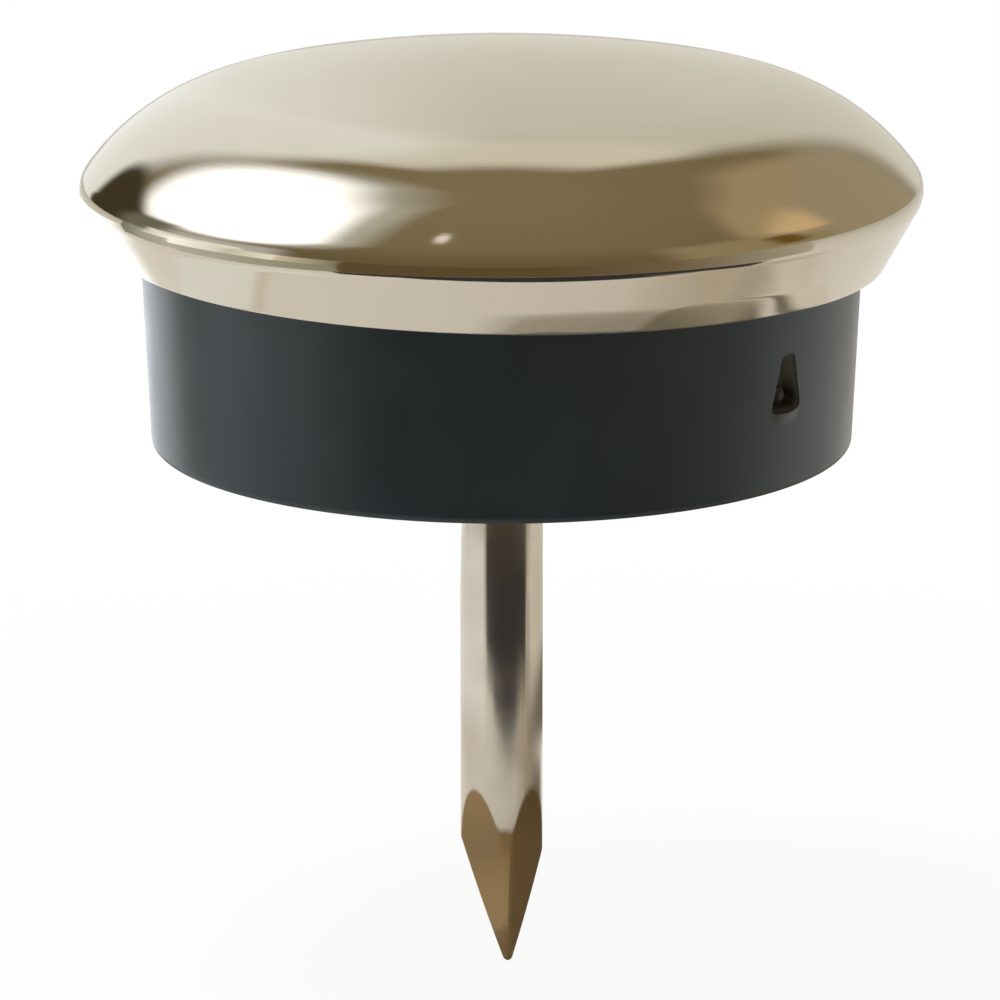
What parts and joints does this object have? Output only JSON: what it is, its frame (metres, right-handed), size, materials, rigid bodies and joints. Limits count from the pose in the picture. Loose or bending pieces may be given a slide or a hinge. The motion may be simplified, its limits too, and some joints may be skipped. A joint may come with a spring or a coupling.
{
  "type": "furniture glide",
  "caption": "Nail-on furniture glide: a domed, nickel-plated steel cap crimped over a dark plastic base, with a faceted nail out of the base.",
  "frame": {"origin": "on the nail's axis, at the underside of the plastic base, where the glide seats on the end of a furniture leg", "axes": "+Z along the nail's axis from its point towards the domed cap; -Y is the side with the gate scar to its right"},
  "size_m": [0.022, 0.022, 0.0249],
  "materials": {
    "cap_nickel": "polished",
    "base_plastic": "satin",
    "nail_nickel": "polished"
  },
  "bodies": {
    "root": {"steel_cap": "cap_nickel", "plastic_base": "base_plastic", "nail": "nail_nickel"}
  },
  "joints": []
}
